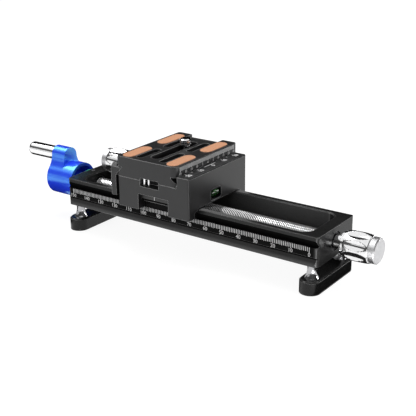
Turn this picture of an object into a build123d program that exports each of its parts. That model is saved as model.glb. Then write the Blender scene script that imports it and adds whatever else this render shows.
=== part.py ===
from build123d import *
import os

# Macro focusing rail, in millimetres.
# X runs along the rail, Y across it with the scale side at -Y, Z up.
# The origin is the mouth of the tripod socket, in the middle of the rail's underside.

# Rail: a milled bar with an open pocket, V ways along both sides and a scale strip in front.
rail_length = 158.4
rail_width = 37.0
rail_height = 15.2
rail_corner = 2.6
flange_flare = 0.5          # the lower flange's foot stands out past the rail's side
flange_lean = 0.9           # how far the flange leans in from its foot to its top
flange_edge = 0.3
flange_height = 3.9
shadow_groove = 0.6         # small V groove between the lower flange and the scale strip
groove_opening = 0.9
way_height = 3.55           # V way that the gibs run in
way_depth = 1.7
way_rise = 0.5
lip_height = 1.9            # from the way to the rail's top
rail_edge = 0.2
pocket_wall = 3.5
pocket_corner = 5.5
pocket_edge = 0.5
floor_thickness = 3.4
left_wall = 7.0
right_wall = 7.1

# Lead screw and its two bearings.
screw_radius = 4.0
screw_lift = 0.3            # between the thread and the pocket's floor
journal_radius = 3.0
set_screw_bite = 1.0        # the bearing's set screw stops this far from the journal
running_gap = 0.05          # radial clearance of every shaft in its hole
end_gap = 0.1
bush_radius = 4.9
bush_recess = 0.6
bearing_screw_inset = 2.5
bearing_screw_radius = 1.0
thread_chamfer = 0.6

# Feet under both ends of the rail.
foot_inset = 4.8            # from the rail's end to the middle of the foot
foot_overhang = 2.6         # how far the foot reaches past the rail's side
foot_radius = 5.4
foot_height = 7.0
foot_chamfer = 0.7
pillar_height = 7.3
pillar_inset = 0.5          # from the rail's side to the pillar's base
pillar_base = 3.6
pillar_waist = 2.3
pillar_waist_drop = 3.1
pillar_top = 2.6
foot_screw_radius = 1.5
foot_screw_depth = 8.0
foot_head_radius = 2.8
foot_head_height = 2.4
hex_socket = 1.25

# Tripod sockets in the rail's underside.
quarter_inch = 6.35
three_eighths = 9.525
large_socket_x = -25.0

# Crank on the left end of the screw.
crank_gap = 6.1             # from the rail's end to the mouth of the crank's cup
crank_length = 19.3
crank_radius = 10.3
crank_wall = 1.7
crank_cup_depth = 8.7
crank_boss_radius = 4.6
crank_boss_inset = 0.8
crank_throw = 13.2          # from the screw's axis to the handle's axis
crank_lobe_radius = 5.0
crank_waist = 12.0
crank_edge = 0.6
crank_end_wall = 1.0
handle_radius = 4.0
handle_length = 20.2
handle_gap = 0.3
handle_round = 2.4
axle_radius = 1.9
axle_depth = 6.5
axle_head_radius = 2.9
axle_head_height = 2.0
washer_thickness = 1.4
thrust_washer_radius = 7.2
lock_nut_width = 10.0
lock_nut_length = 4.4
set_screw_radius = 1.5

# Fluted knobs: the focus knob on the right and the clamp knob on the left.
knob_radius = 7.7
focus_neck = 4.2
clamp_neck = 5.4
knob_neck_radius = 3.8
knob_collar = 2.0
knob_collar_shrink = 1.6
knob_barrel = 13.0
knob_barrel_drop = 0.8
knob_cap = 3.5
knob_cap_shrink = 1.2
knob_cap_edge = 0.5
knob_bore_margin = 2.0
knob_stem_radius = 1.6
knob_stem_length = 1.8
flute_count = 8
flute_margin = 0.9
flute_half_width = 2.5
flute_depth = 1.15

# Carriage block that straddles the rail.
carriage_x = -12.55         # middle of the carriage as photographed
flank_thickness = 7.5       # the skirt on each side of the rail
skirt_lift = 1.1            # from the scale strip to the skirt's bottom edge
bed_thickness = 11.5
fixed_jaw_width = 7.05
fixed_jaw_drop = 4.8        # from the plate's top to the fixed jaw's top
block_edge = 0.5
block_corner = 0.8
side_gap = 0.3
top_gap = 0.2
gib_depth = 2.3
gib_rise = 0.9              # how far the gib stands over the way
gib_end_inset = 0.5
gib_gap = 0.06
gib_screw_spacing = 15.0
gib_screw_count = 3

# Index window in the front skirt.
window_width = 19.4
window_height = 8.6
window_recess = 2.6
index_height = 3.8
index_thickness = 1.5

# Bubble level in the right face.
level_y = -2.2
level_lift = 3.8            # from the channel's top to the middle of the level
level_width = 10.0
level_height = 6.2
level_corner = 1.86
level_depth = 4.6
level_frame = 0.7
vial_radius = 2.1
vial_gap = 0.25
vial_end_gap = 0.5

# Drive nut under the carriage.
nut_length = 18.0
nut_width = 12.0
nut_lift = 0.8
nut_screw_x = 6.0
nut_screw_y = 4.0
nut_screw_radius = 1.5
nut_screw_reach = 3.2
nut_head_radius = 2.75
nut_head_height = 3.0

# Quick-release plate and the two jaws that hold its dovetail.
plate_shift = -4.2          # from the middle of the carriage to the middle of the plate
plate_overhang = 1.05       # of the plate over the block's left face
plate_front_inset = 0.05    # the plate's end is flush with the block's front
plate_width = 39.3
plate_length = 54.3
plate_thickness = 10.7
plate_rest_gap = 0.1
plate_corner = 2.0
plate_round_corner = 4.0    # the front right corner is rounder
plate_edge = 0.4
dovetail_inset = 0.65       # on each side, from the plate's edge to the dovetail's foot
dovetail_foot = 1.4
dovetail_slant = 3.1
neck_rise = 0.6
flange_gap = 0.3
jaw_gap = 0.3
grip_gap = 0.1
lip_thickness = 0.4
lead_in = 5.0
pad_side_inset = 5.4        # from the plate's side to the middle of the pads
pad_front_inset = 11.3      # from the plate's front end to the middle of the front pads
pad_back_inset = 14.2
pad_length = 20.0
pad_width = 6.9
pad_thickness = 1.0
pad_recess = 0.6
relief_x = 7.6
relief_width = 4.4
relief_depth = 2.2
relief_front_inset = 12.5
relief_back_inset = 19.35
relief_length = 18.0
back_notch_width = 20.6
back_notch_length = 6.5
back_notch_depth = 1.7
slot_half_width = 3.3
slot_length = 36.0
slot_shift = -2.7           # of the slot's middle, from the plate's middle
counterbore_half = 6.8
web_thickness = 5.8

# Camera screw in the plate's slot.
stud_shift = 7.1            # of the screw, from the plate's middle, as photographed
stud_height = 4.3
stud_neck_radius = 2.5      # the shank is necked down inside the slot
stud_chamfer = 0.7
stud_slot_width = 1.1
stud_slot_depth = 1.3
stud_head_radius = 6.3
stud_head_height = 3.0
stud_head_slot = 1.4
retainer_thickness = 0.5

# Stop pins that stand in notches at both ends of the plate.
stop_window_shift = 2.0     # of the window's middle, from the plate's middle
stop_window_width = 12.0
stop_window_depth = 5.5
stop_window_drop = 3.1
stop_notch_rise = 1.2
stop_notch_length = 12.0
stop_pin_inset = 2.6
stop_pin_reach = 0.9        # how far a pin stands over the bed
stop_pin_seat = 2.6
stop_pin_places = ((-5.0, 0.8), (-2.1, 0.65))

# Moving jaw, its guide pins and its screw.
jaw_block_gap = 1.6
jaw_thickness = 3.1
jaw_drop = 11.1             # from the bed to the jaw's bottom
jaw_rise = 0.3
jaw_end_chamfer = 2.0
hook_gap = 0.2
clamp_axis_drop = 2.9
clamp_screw_radius = 2.0
clamp_engagement = 12.0
clamp_tip_gap = 1.0
clamp_washer_thickness = 0.8
clamp_washer_radius = 4.4
clip_thickness = 0.7
clip_radius = 2.9
guide_pin_y = 17.0
guide_pin_drop = 6.4
guide_pin_radius = 2.0
guide_pin_depth = 10.0
guide_pin_inset = 0.5

# Places that follow from the sizes above.
half_length = rail_length / 2
half_width = rail_width / 2
flange_half = half_width + flange_flare
way_top = rail_height - lip_height
strip_top = way_top - way_height
pocket_half = half_width - pocket_wall
pocket_left = -half_length + left_wall
pocket_right = half_length - right_wall
screw_axis_z = floor_thickness + screw_lift + screw_radius
set_screw_tip = screw_axis_z + journal_radius + set_screw_bite
foot_centre_x = half_length - foot_inset
foot_length = rail_width + 2 * foot_overhang
pillar_y = half_width - pillar_inset - pillar_base
foot_top = -pillar_height
foot_bottom = foot_top - foot_height
crank_mouth = -half_length - crank_gap
crank_back = crank_mouth - crank_length
lobe_face = crank_mouth - crank_cup_depth
handle_z = screw_axis_z + crank_throw
channel_half = half_width + side_gap
channel_top = rail_height + top_gap
gib_back = channel_half + gib_depth
gib_top = way_top + gib_rise
skirt_bottom = strip_top + skirt_lift
gib_screw_z = (skirt_bottom + gib_top) / 2
bed_z = channel_top + bed_thickness
plate_x = carriage_x + plate_shift
plate_left = plate_x - plate_width / 2
plate_right = plate_x + plate_width / 2
plate_bottom = bed_z + plate_rest_gap
plate_top = plate_bottom + plate_thickness
block_left = plate_left + plate_overhang
block_right = plate_right + flange_gap + fixed_jaw_width
block_half = half_width + flank_thickness
plate_front = -block_half + plate_front_inset
plate_back = plate_front + plate_length
plate_y = (plate_front + plate_back) / 2
window_top = skirt_bottom + window_height
window_band_bottom = window_top - index_height
level_z = channel_top + level_lift
nut_bottom = floor_thickness + nut_lift
dovetail_half = plate_width / 2 - dovetail_inset
foot_z = plate_bottom + dovetail_foot
neck_half = dovetail_half - dovetail_slant
neck_z = foot_z + dovetail_slant
flange_bottom = neck_z + neck_rise
lip_top = flange_bottom - flange_gap
web_bottom = plate_top - web_thickness
jaw_top = plate_top - fixed_jaw_drop
jaw_face = block_left - jaw_block_gap
jaw_back = jaw_face - jaw_thickness
jaw_bottom = bed_z - jaw_drop
clamp_axis_z = bed_z - clamp_axis_drop
guide_pin_z = bed_z - guide_pin_drop
clamp_knob_start = jaw_back - clamp_washer_thickness
stud_y = plate_y + stud_shift
stud_top = plate_top + stud_height
stop_window_x = plate_x + stop_window_shift
stop_window_bottom = bed_z - stop_window_drop
stop_notch_top = plate_bottom + stop_notch_rise
stop_pin_top = bed_z + stop_pin_reach
stop_pin_root = stop_window_bottom - stop_pin_seat


def rod_x(radius, start, end, y=0.0, z=0.0):
    return Pos((start + end) / 2, y, z) * Rot(0, 90, 0) * Cylinder(radius, abs(end - start))


def rod_y(radius, start, end, x=0.0, z=0.0):
    return Pos(x, (start + end) / 2, z) * Rot(90, 0, 0) * Cylinder(radius, abs(end - start))


def rod_z(radius, start, end, x=0.0, y=0.0):
    return Pos(x, y, (start + end) / 2) * Cylinder(radius, abs(end - start))


def slab(x_range, y_range, z_range):
    spans = [high - low for low, high in (x_range, y_range, z_range)]
    middle = [(low + high) / 2 for low, high in (x_range, y_range, z_range)]
    return Pos(*middle) * Box(*spans)


def prism_along_x(points, start, end):
    face = make_face(Polyline(points, close=True))
    return Pos(start, 0, 0) * extrude(Plane.YZ * face, end - start)


def prism_along_y(points, start, end):
    face = make_face(Polyline(points, close=True))
    return Pos(0, end, 0) * extrude(Plane.XZ * face, end - start)


def rounded_prism(x_range, y_range, z_range, radius, taper=0.0):
    face = RectangleRounded(x_range[1] - x_range[0], y_range[1] - y_range[0], radius)
    solid = extrude(face, z_range[1] - z_range[0], taper=taper)
    return Pos((x_range[0] + x_range[1]) / 2, (y_range[0] + y_range[1]) / 2, z_range[0]) * solid


def stadium(length, width, bottom, top, x=0.0, y=0.0):
    # A slot shape that runs along Y.
    face = Rot(0, 0, 90) * SlotOverall(length, width)
    return Pos(x, y, bottom) * extrude(face, top - bottom)


def hex_recess_z(across, bottom, top, x, y):
    face = RegularPolygon(across, 6, major_radius=False)
    return Pos(x, y, bottom) * extrude(face, top - bottom)


# Rail and what is fixed to it.


def rail_side(sign):
    side = [
        (flange_half - flange_edge, 0),
        (flange_half, flange_edge),
        (flange_half - flange_lean, flange_height),
        (half_width - shadow_groove, flange_height + groove_opening / 2),
        (half_width, flange_height + groove_opening),
        (half_width, strip_top),
        (half_width - way_depth, strip_top + way_rise),
        (half_width, way_top),
        (half_width, rail_height - rail_edge),
        (half_width - rail_edge, rail_height),
    ]
    return [(sign * y, z) for y, z in side]


def rail_body():
    bar = prism_along_x(rail_side(1) + rail_side(-1)[::-1], -half_length, half_length)
    bar &= rounded_prism(
        (-half_length, half_length), (-flange_half, flange_half), (0, rail_height), rail_corner
    )
    pocket_x = (pocket_left, pocket_right)
    pocket_y = (-pocket_half, pocket_half)
    bar -= rounded_prism(pocket_x, pocket_y, (floor_thickness, rail_height), pocket_corner)
    bar -= rounded_prism(pocket_x, pocket_y, (rail_height - pocket_edge, rail_height), pocket_corner, -45)
    bar -= rod_x(bush_radius, -half_length, pocket_left, z=screw_axis_z)
    bar -= rod_x(bush_radius, pocket_right, half_length, z=screw_axis_z)
    bar -= rod_z(bearing_screw_radius, screw_axis_z, rail_height, bearing_screw_x())
    bar -= rod_z(quarter_inch / 2, 0, floor_thickness)
    bar -= rod_z(three_eighths / 2, 0, floor_thickness, large_socket_x)
    for x, y in foot_places():
        bar -= rod_z(foot_screw_radius, 0, foot_screw_depth, x, y)
    return bar


def bush(start, end):
    sleeve = rod_x(bush_radius, start, end, z=screw_axis_z)
    return sleeve - rod_x(journal_radius + running_gap, start, end, z=screw_axis_z)


def left_bearing_bush():
    sleeve = bush(-half_length, pocket_left - bush_recess)
    return sleeve - rod_z(bearing_screw_radius, set_screw_tip, rail_height, bearing_screw_x())


def right_bearing_bush():
    return bush(pocket_right, half_length - bush_recess)


def bearing_screw_x():
    return -half_length + bearing_screw_inset


def bearing_set_screw():
    x = bearing_screw_x()
    screw = rod_z(bearing_screw_radius, set_screw_tip, rail_height, x)
    socket_bottom = rail_height - bearing_screw_radius
    return screw - hex_recess_z(bearing_screw_radius / 2, socket_bottom, rail_height, x, 0)


def foot_places(side=None):
    sides = (-1, 1) if side is None else (side,)
    return [(s * foot_centre_x, t * pillar_y) for s in sides for t in (-1, 1)]


def foot(side):
    body = stadium(foot_length, 2 * foot_radius, foot_bottom, foot_top, side * foot_centre_x)
    body = chamfer(body.faces().sort_by(Axis.Z)[-1].edges(), foot_chamfer)
    for x, y in foot_places(side):
        body -= rod_z(foot_screw_radius + running_gap, foot_bottom, foot_top, x, y)
        body -= rod_z(foot_head_radius + running_gap, foot_bottom, foot_bottom + foot_head_height, x, y)
    return body


def pillar(x, y):
    # A waisted post: the side is an arc from the wide base to the narrower top.
    side = Line((0, foot_top), (pillar_base, foot_top))
    side += ThreePointArc((pillar_base, foot_top), (pillar_waist, -pillar_waist_drop), (pillar_top, 0))
    side += Polyline((pillar_top, 0), (0, 0), (0, foot_top))
    post = Pos(x, y, 0) * revolve(Plane.XZ * make_face(side), Axis.Z)
    return post - rod_z(foot_screw_radius + running_gap, foot_top, 0, x, y)


def foot_screw(x, y):
    head_top = foot_bottom + foot_head_height
    screw = rod_z(foot_head_radius, foot_bottom, head_top, x, y)
    screw += rod_z(foot_screw_radius, head_top, foot_screw_depth, x, y)
    return screw - hex_recess_z(hex_socket, foot_bottom, foot_bottom + foot_head_height / 2, x, y)


# Lead screw, crank and focus knob.


def lead_screw():
    shaft_end = half_length + focus_knob_bore()
    shaft = rod_x(journal_radius, crank_back + crank_end_wall, shaft_end, z=screw_axis_z)
    thread = rod_x(screw_radius, pocket_left + end_gap, pocket_right - end_gap, z=screw_axis_z)
    thread = chamfer(thread.edges().filter_by(GeomType.CIRCLE), thread_chamfer)
    return shaft + thread


def thrust_washer():
    start = -half_length - washer_thickness
    ring = rod_x(thrust_washer_radius, start, -half_length, z=screw_axis_z)
    return ring - rod_x(journal_radius + running_gap, start, -half_length, z=screw_axis_z)


def lock_nut():
    end = -half_length - washer_thickness
    face = RegularPolygon(lock_nut_width / 2, 6, major_radius=False)
    nut = Pos(end - lock_nut_length, 0, screw_axis_z) * extrude(Plane.YZ * face, lock_nut_length)
    return nut - rod_x(journal_radius + running_gap, end - lock_nut_length, end, z=screw_axis_z)


def crank_outline():
    # Hub and lobe joined by hollow arcs that are tangent to both.
    hub_reach = crank_radius + crank_waist
    lobe_reach = crank_lobe_radius + crank_waist
    up = (hub_reach**2 - lobe_reach**2 + crank_throw**2) / (2 * crank_throw)
    out = (hub_reach**2 - up**2) ** 0.5
    hub_point = Vector(out, up) * (crank_radius / hub_reach)
    lobe_centre = Vector(0, crank_throw)
    waist_centre = Vector(out, up)
    lobe_point = lobe_centre + (waist_centre - lobe_centre) * (crank_lobe_radius / lobe_reach)
    inward = (hub_point + lobe_point - waist_centre * 2).normalized()
    waist_point = waist_centre + inward * crank_waist
    waist = ThreePointArc(hub_point, waist_point, lobe_point)
    crown = ThreePointArc(lobe_point, (0, crank_throw + crank_lobe_radius), (-lobe_point.X, lobe_point.Y))
    base = ThreePointArc((-hub_point.X, hub_point.Y), (0, -crank_radius), hub_point)
    return make_face(waist + crown + mirror(waist, Plane.YZ) + base)


def crank_arm():
    plate = Pos(crank_back, 0, screw_axis_z) * extrude(Plane.YZ * crank_outline(), lobe_face - crank_back)
    arm = chamfer(plate.faces().sort_by(Axis.X)[0].edges(), crank_edge)
    arm += rod_x(crank_radius, lobe_face, crank_mouth, z=screw_axis_z)
    arm -= rod_x(crank_radius - crank_wall, lobe_face, crank_mouth, z=screw_axis_z)
    arm += rod_x(crank_boss_radius, lobe_face, crank_mouth - crank_boss_inset, z=screw_axis_z)
    arm -= rod_x(journal_radius + running_gap, crank_back + crank_end_wall, crank_mouth, z=screw_axis_z)
    arm -= rod_x(axle_radius, crank_back, crank_back + axle_depth, z=handle_z)
    set_x = (crank_back + lobe_face) / 2
    arm -= rod_y(set_screw_radius, journal_radius, crank_radius, set_x, screw_axis_z)
    return arm


def crank_set_screw():
    set_x = (crank_back + lobe_face) / 2
    return rod_y(set_screw_radius, journal_radius, crank_radius - crank_edge, set_x, screw_axis_z)


def handle_axle():
    handle_end = crank_back - handle_gap - handle_length
    head_start = handle_end + crank_edge
    head_end = head_start + axle_head_height
    axle = rod_x(axle_head_radius, head_start, head_end, z=handle_z)
    axle += rod_x(axle_radius, head_end, crank_back + axle_depth, z=handle_z)
    return axle


def crank_handle():
    start = crank_back - handle_gap
    end = start - handle_length
    grip = rod_x(handle_radius, end, start, z=handle_z)
    grip = fillet(grip.edges().filter_by(GeomType.CIRCLE).sort_by(Axis.X)[0], handle_round)
    grip -= rod_x(axle_radius + running_gap, end, start, z=handle_z)
    head_space = crank_edge + axle_head_height + running_gap
    return grip - rod_x(axle_head_radius + running_gap, end, end + head_space, z=handle_z)


def focus_knob_bore():
    return focus_neck + knob_collar + knob_barrel - knob_bore_margin


def barrel_knob(neck, bore_radius):
    # A knob that starts at X = 0 and points along +X.
    collar_radius = knob_radius - knob_collar_shrink
    barrel_start = neck + knob_collar
    barrel_end = barrel_start + knob_barrel
    end_radius = knob_radius - knob_barrel_drop
    side = Polyline(
        (0, 0),
        (0, knob_neck_radius),
        (neck, knob_neck_radius),
        (neck, collar_radius),
        (barrel_start, collar_radius),
        (barrel_start, end_radius),
    )
    barrel_middle = (barrel_start + barrel_end) / 2
    side += ThreePointArc((barrel_start, end_radius), (barrel_middle, knob_radius), (barrel_end, end_radius))
    side += Polyline((barrel_end, end_radius), (barrel_end, 0), (0, 0))
    knob = revolve(make_face(side), Axis.X)
    for turn in range(flute_count):
        angle = 360 * turn / flute_count
        reach = knob_radius + flute_half_width - flute_depth
        knob -= Rot(angle, 0, 0) * Pos(barrel_middle, 0, reach) * flute_cutter()
    knob -= rod_x(bore_radius, 0, barrel_end - knob_bore_margin)
    return knob - rod_x(knob_stem_radius, barrel_end - knob_stem_length, barrel_end)


def flute_cutter():
    # A long spindle: an arc turned about its own chord.
    half = knob_barrel / 2 - flute_margin
    side = ThreePointArc((-half, 0), (0, flute_half_width), (half, 0)) + Line((half, 0), (-half, 0))
    return revolve(make_face(side), Axis.X)


def knob_end_cap(neck):
    start = neck + knob_collar + knob_barrel
    disc = rod_x(knob_radius - knob_cap_shrink, start, start + knob_cap)
    rim = disc.edges().filter_by(GeomType.CIRCLE).sort_by(Axis.X)[-1]
    cap = chamfer(rim, knob_cap_edge)
    return cap + rod_x(knob_stem_radius, start - knob_stem_length, start)


def on_right_end(piece):
    return Pos(half_length + end_gap, 0, screw_axis_z) * piece


def focus_knob():
    return on_right_end(barrel_knob(focus_neck, journal_radius))


def focus_knob_cap():
    return on_right_end(knob_end_cap(focus_neck))


# Carriage.


def carriage_profile():
    # Right half of the dovetail: the fixed jaw hangs over the foot of the plate.
    foot_x = plate_x + dovetail_half
    slant_shift = grip_gap * 2 ** 0.5
    jaw_wall = foot_x + jaw_gap
    lip_x = foot_x + foot_z + slant_shift - (lip_top - lip_thickness)
    flange_side = plate_right + flange_gap
    return [
        (block_left, skirt_bottom),
        (block_right, skirt_bottom),
        (block_right, jaw_top - block_edge),
        (block_right - block_edge, jaw_top),
        (flange_side, jaw_top),
        (flange_side, lip_top),
        (lip_x, lip_top),
        (lip_x, lip_top - lip_thickness),
        (jaw_wall, foot_z + slant_shift - jaw_gap),
        (jaw_wall, bed_z),
        (block_left, bed_z),
    ]


def lead_in_cut(side):
    # The lip is cut away at both ends, so that the plate finds its way in.
    x_range = (plate_x + neck_half, plate_right + flange_gap)
    inner = block_half - lead_in
    y_range = (inner, block_half) if side > 0 else (-block_half, -inner)
    return slab(x_range, y_range, (foot_z, lip_top))


def carriage_block():
    block = prism_along_y(carriage_profile(), -block_half, block_half)
    uprights = [edge for edge in block.edges().filter_by(Axis.Z) if edge.length > bed_thickness]
    block = fillet(uprights, block_corner)
    across = (-channel_half, channel_half)
    along = (block_left, block_right)
    block -= slab(along, across, (skirt_bottom, channel_top))
    block -= slab(along, (-gib_back, gib_back), (skirt_bottom, gib_top))
    for side in (-1, 1):
        block -= lead_in_cut(side)
        block -= stop_window(side)
    block -= index_window()
    block -= level_recess()
    clamp_hole_end = clamp_screw_end() + clamp_tip_gap
    block -= rod_x(clamp_screw_radius + running_gap, block_left, clamp_hole_end, z=clamp_axis_z)
    for y in (-guide_pin_y, guide_pin_y):
        block -= rod_x(guide_pin_radius, block_left, block_left + guide_pin_depth, y, guide_pin_z)
    for x, y in nut_screw_places():
        block -= rod_z(nut_screw_radius + running_gap, channel_top, bed_z, x, y)
        block -= rod_z(nut_head_radius + running_gap, bed_z - nut_head_height, bed_z, x, y)
    for x in gib_screw_places():
        block -= rod_y(set_screw_radius, gib_back, block_half, x, gib_screw_z)
    for x, y, radius in stop_pin_spots():
        block -= rod_z(radius, stop_pin_root, stop_window_bottom, x, y)
    return block


def stop_window(side):
    half = stop_window_width / 2
    inner = block_half - stop_window_depth
    y_range = (inner, block_half) if side > 0 else (-block_half, -inner)
    return slab((stop_window_x - half, stop_window_x + half), y_range, (stop_window_bottom, bed_z))


def index_window():
    x_range = (carriage_x - window_width / 2, carriage_x + window_width / 2)
    recess_back = -block_half + window_recess
    opening = slab(x_range, (-block_half, recess_back), (skirt_bottom, window_top))
    opening += slab(x_range, (recess_back, recess_back + index_thickness), (window_band_bottom, window_top))
    return opening + slab(x_range, (-block_half, -gib_back), (skirt_bottom, window_band_bottom))


def index_plate():
    half = window_width / 2 - running_gap
    recess_back = -block_half + window_recess
    return slab(
        (carriage_x - half, carriage_x + half),
        (recess_back, recess_back + index_thickness),
        (window_band_bottom, window_top),
    )


def level_outline(grow):
    return RectangleRounded(level_width + 2 * grow, level_height + 2 * grow, level_corner + grow)


def level_recess():
    face = level_outline(0)
    return Pos(block_right - level_depth, level_y, level_z) * extrude(Plane.YZ * face, level_depth)


def level_bezel():
    ring = level_outline(-running_gap) - level_outline(-level_frame)
    return Pos(block_right - level_depth, level_y, level_z) * extrude(Plane.YZ * ring, level_depth)


def level_vial():
    x = block_right - vial_radius - vial_gap
    reach = level_width / 2 - level_frame - vial_end_gap
    return rod_y(vial_radius, level_y - reach, level_y + reach, x, level_z)


def gib(side):
    # Its nose lies under the rail's V way and keeps the carriage down.
    slope = way_depth / (way_top - strip_top - way_rise)
    nose = half_width - way_depth + slope * (skirt_bottom - strip_top - way_rise) + gib_gap
    section = [
        (nose, skirt_bottom),
        (half_width + gib_gap, way_top),
        (half_width + gib_gap, gib_top),
        (gib_back, gib_top),
        (gib_back, skirt_bottom),
    ]
    points = [(side * y, z) for y, z in section]
    return prism_along_x(points, block_left + gib_end_inset, block_right - gib_end_inset)


def gib_screw_places():
    middle = (gib_screw_count - 1) / 2
    return [carriage_x + gib_screw_spacing * (i - middle) for i in range(gib_screw_count)]


def gib_screw(x):
    screw = rod_y(set_screw_radius, gib_back, block_half - block_edge, x, gib_screw_z)
    socket = RegularPolygon(hex_socket / 2, 6, major_radius=False)
    cutter = extrude(Plane.XZ * socket, set_screw_radius)
    return screw - Pos(x, block_half - block_edge, gib_screw_z) * cutter


def nut_screw_places():
    return [(carriage_x + s * nut_screw_x, s * nut_screw_y) for s in (-1, 1)]


def drive_nut():
    half = nut_length / 2
    nut = slab(
        (carriage_x - half, carriage_x + half),
        (-nut_width / 2, nut_width / 2),
        (nut_bottom, channel_top),
    )
    nut = chamfer(nut.edges().filter_by(Axis.Z), block_edge)
    nut -= rod_x(screw_radius + running_gap, carriage_x - half, carriage_x + half, z=screw_axis_z)
    for x, y in nut_screw_places():
        nut -= rod_z(nut_screw_radius, channel_top - nut_screw_reach, channel_top, x, y)
    return nut


def nut_screw(x, y):
    screw = rod_z(nut_head_radius, bed_z - nut_head_height, bed_z - plate_rest_gap, x, y)
    screw += rod_z(nut_screw_radius, channel_top - nut_screw_reach, bed_z - nut_head_height, x, y)
    return screw - hex_recess_z(hex_socket, bed_z - nut_head_height / 2, bed_z, x, y)


def stop_pin_spots():
    y = block_half - stop_pin_inset
    return [(stop_window_x + dx, side * y, r) for side in (-1, 1) for dx, r in stop_pin_places]


def stop_pin(x, y, radius):
    return rod_z(radius, stop_pin_root, stop_pin_top, x, y)


def jaw_guide_pin(y):
    end = block_left + guide_pin_depth
    return rod_x(guide_pin_radius, jaw_back + guide_pin_inset, end, y, guide_pin_z)


# Moving jaw and clamp knob.


def clamp_screw_end():
    return block_left + clamp_engagement


def clamp_jaw():
    foot_x = plate_x - dovetail_half
    slant_shift = grip_gap * 2 ** 0.5
    hook_wall = foot_x - jaw_gap
    lip_x = foot_x - foot_z - slant_shift + (lip_top - lip_thickness)
    top = jaw_top + jaw_rise
    profile = [
        (jaw_back, jaw_bottom),
        (jaw_face, jaw_bottom),
        (jaw_face, bed_z + hook_gap),
        (hook_wall, bed_z + hook_gap),
        (hook_wall, foot_z + slant_shift - jaw_gap),
        (lip_x, lip_top - lip_thickness),
        (lip_x, lip_top),
        (jaw_face, lip_top),
        (jaw_face, top - block_edge),
        (jaw_face - block_edge, top),
        (jaw_back + block_edge, top),
        (jaw_back, top - block_edge),
    ]
    jaw = prism_along_y(profile, -block_half, block_half)
    jaw &= jaw_side_outline(top)
    jaw -= rod_x(clamp_screw_radius + running_gap, jaw_back, jaw_face, z=clamp_axis_z)
    for y in (-guide_pin_y, guide_pin_y):
        jaw -= rod_x(guide_pin_radius + running_gap, jaw_back, jaw_face, y, guide_pin_z)
    return jaw


def jaw_side_outline(top):
    # Seen from the side, the jaw's upper corners are cut off.
    low = block_half - jaw_end_chamfer
    outline = [
        (-block_half, jaw_bottom),
        (block_half, jaw_bottom),
        (block_half, top - jaw_end_chamfer),
        (low, top),
        (-low, top),
        (-block_half, top - jaw_end_chamfer),
    ]
    return prism_along_x(outline, jaw_back, plate_x)


def clamp_screw():
    start = clamp_knob_start - clamp_neck - knob_collar - knob_barrel + knob_bore_margin
    return rod_x(clamp_screw_radius, start, clamp_screw_end(), z=clamp_axis_z)


def clamp_washer():
    ring = rod_x(clamp_washer_radius, clamp_knob_start, jaw_back, z=clamp_axis_z)
    return ring - rod_x(clamp_screw_radius, clamp_knob_start, jaw_back, z=clamp_axis_z)


def clamp_clip():
    start = jaw_face + end_gap
    ring = rod_x(clip_radius, start, start + clip_thickness, z=clamp_axis_z)
    return ring - rod_x(clamp_screw_radius, start, start + clip_thickness, z=clamp_axis_z)


def on_clamp_side(piece):
    return Pos(clamp_knob_start, 0, clamp_axis_z) * Rot(0, 0, 180) * piece


def clamp_knob():
    return on_clamp_side(barrel_knob(clamp_neck, clamp_screw_radius))


def clamp_knob_cap():
    return on_clamp_side(knob_end_cap(clamp_neck))


# Quick-release plate and camera screw.


def plate_profile():
    half = plate_width / 2
    side = [
        (dovetail_half, plate_bottom),
        (dovetail_half, foot_z),
        (neck_half, neck_z),
        (neck_half, flange_bottom),
        (half, flange_bottom),
        (half, plate_top - plate_edge),
        (half - plate_edge, plate_top),
    ]
    mirrored = [(-x, z) for x, z in side[::-1]]
    return [(plate_x + x, z) for x, z in side + mirrored]


def pad_places():
    rows = (plate_front + pad_front_inset, plate_back - pad_back_inset)
    pad_x = plate_width / 2 - pad_side_inset
    return [(plate_x + s * pad_x, y) for s in (-1, 1) for y in rows]


def plate_outline():
    # Seen from above, the front right corner is rounder than the other three.
    face = Pos(plate_x, plate_y) * Rectangle(plate_width, plate_length)
    corners = sorted(face.vertices(), key=lambda corner: corner.X - corner.Y)
    face = fillet(corners[:3], plate_corner)
    front_right = max(face.vertices(), key=lambda corner: corner.X - corner.Y)
    face = fillet(front_right, plate_round_corner)
    return Pos(0, 0, plate_bottom) * extrude(face, plate_top - plate_bottom)


def quick_release_plate():
    plate = prism_along_y(plate_profile(), plate_front, plate_back)
    plate &= plate_outline()
    seat_length = pad_length + running_gap
    seat_width = pad_width + running_gap
    for x, y in pad_places():
        plate -= stadium(seat_length, seat_width, plate_top - pad_recess, plate_top, x, y)
    relief_bottom = plate_top - relief_depth
    for x in (plate_x - relief_x, plate_x + relief_x):
        for y in (plate_front + relief_front_inset, plate_back - relief_back_inset):
            plate -= stadium(relief_length, relief_width, relief_bottom, plate_top, x, y)
    half_notch = back_notch_width / 2
    plate -= slab(
        (plate_x - half_notch, plate_x + half_notch),
        (plate_back - back_notch_length, plate_back),
        (plate_top - back_notch_depth, plate_top),
    )
    middle = plate_y + slot_shift
    plate -= stadium(slot_length, 2 * slot_half_width, plate_bottom, plate_top, plate_x, middle)
    wide = slot_length + 2 * (counterbore_half - slot_half_width)
    plate -= stadium(wide, 2 * counterbore_half, plate_bottom, web_bottom, plate_x, middle)
    half = stop_window_width / 2
    notch_x = (stop_window_x - half, stop_window_x + half)
    front_notch = (plate_front, plate_front + stop_notch_length)
    back_notch = (plate_back - stop_notch_length, plate_back)
    for notch_y in (front_notch, back_notch):
        plate -= slab(notch_x, notch_y, (plate_bottom, stop_notch_top))
    return plate


def grip_pad(x, y):
    bottom = plate_top - pad_recess
    return stadium(pad_length, pad_width, bottom, bottom + pad_thickness, x, y)


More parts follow.
